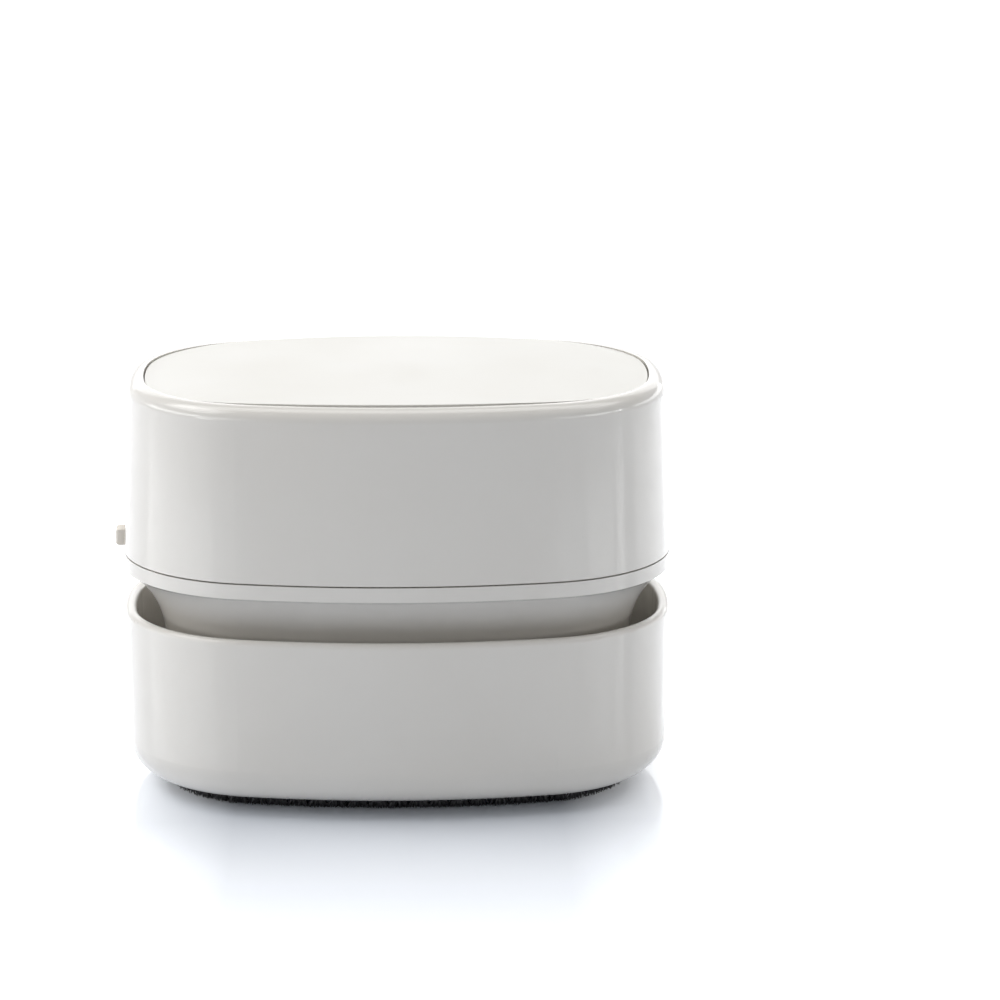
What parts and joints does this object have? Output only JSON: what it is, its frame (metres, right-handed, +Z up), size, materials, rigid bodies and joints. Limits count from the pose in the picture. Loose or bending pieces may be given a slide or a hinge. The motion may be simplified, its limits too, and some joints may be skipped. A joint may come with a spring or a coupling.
{
  "type": "desktop mini vacuum cleaner",
  "caption": "Rounded oblong desktop vacuum: a motor head with a slide switch and a lift-off roof plate, seated in an open dust tray with a brush underneath.",
  "frame": {"origin": "on the desk, under the middle of the plan outline", "axes": "+X to the right along the width, -Y to the front, +Z up; the slide switch is at the -X end"},
  "size_m": [0.1267, 0.085, 0.0944],
  "materials": {
    "shell_plastic": "high-gloss warm white moulding",
    "plate_plastic": "satin cream-white moulding",
    "knob_plastic": "beige, fine-textured moulding",
    "bristle_nylon": "black nylon tufts",
    "brush_plastic": "black moulding",
    "seal_rubber": "grey soft rubber",
    "frame_plastic": "light grey moulding",
    "filter_felt": "needled white felt",
    "inner_plastic": "plain off-white moulding",
    "motor_steel": "zinc-plated steel",
    "cap_plastic": "black moulding",
    "terminal_brass": "tinned brass",
    "screw_steel": "zinc-plated steel",
    "board_laminate": "tan paper laminate",
    "contact_nickel": "nickel-plated spring steel",
    "cell_wrap": "plain wrap on a metal can",
    "fan_plastic": "dark grey moulding"
  },
  "bodies": {
    "tray": {"dust_tray": "shell_plastic", "tray_seal": "seal_rubber", "brush_ring": "brush_plastic", "bristles_front": "bristle_nylon", "bristles_back": "bristle_nylon", "bristles_left": "bristle_nylon", "bristles_right": "bristle_nylon"},
    "head": {"head_chassis": "shell_plastic", "fan_housing": "inner_plastic", "upper_housing": "shell_plastic", "filter_frame": "frame_plastic", "filter_pad": "filter_felt", "fan_cover": "inner_plastic", "motor_can": "motor_steel", "motor_end_cap": "cap_plastic", "motor_terminals": "terminal_brass", "motor_screws": "screw_steel", "switch_board": "board_laminate", "switch_case": "motor_steel", "board_screws": "screw_steel", "chassis_screws": "screw_steel", "contact_plates": "contact_nickel", "contact_springs": "contact_nickel", "cell_1": "cell_wrap", "cell_2": "cell_wrap", "cell_3": "cell_wrap", "cell_4": "cell_wrap"},
    "fan": {"impeller": "fan_plastic", "motor_shaft": "motor_steel"},
    "switch": {"switch_knob": "knob_plastic", "switch_lever": "cap_plastic"},
    "cover": {"top_cover": "plate_plastic"}
  },
  "joints": [
    {"name": "head_lift", "type": "slide", "parent": "tray", "child": "head", "axis": [0, 0, 1], "range_m": [0, 0.05]},
    {"name": "cover_lift", "type": "slide", "parent": "head", "child": "cover", "axis": [0, 0, 1], "range_m": [0, 0.03]},
    {"name": "switch_slide", "type": "slide", "parent": "head", "child": "switch", "axis": [0, 1, 0], "range_m": [0, 0.004]},
    {"name": "fan_spin", "type": "hinge", "parent": "head", "child": "fan", "pos_m": [0, 0, 0.045], "axis": [0, 0, 1], "continuous": true}
  ]
}
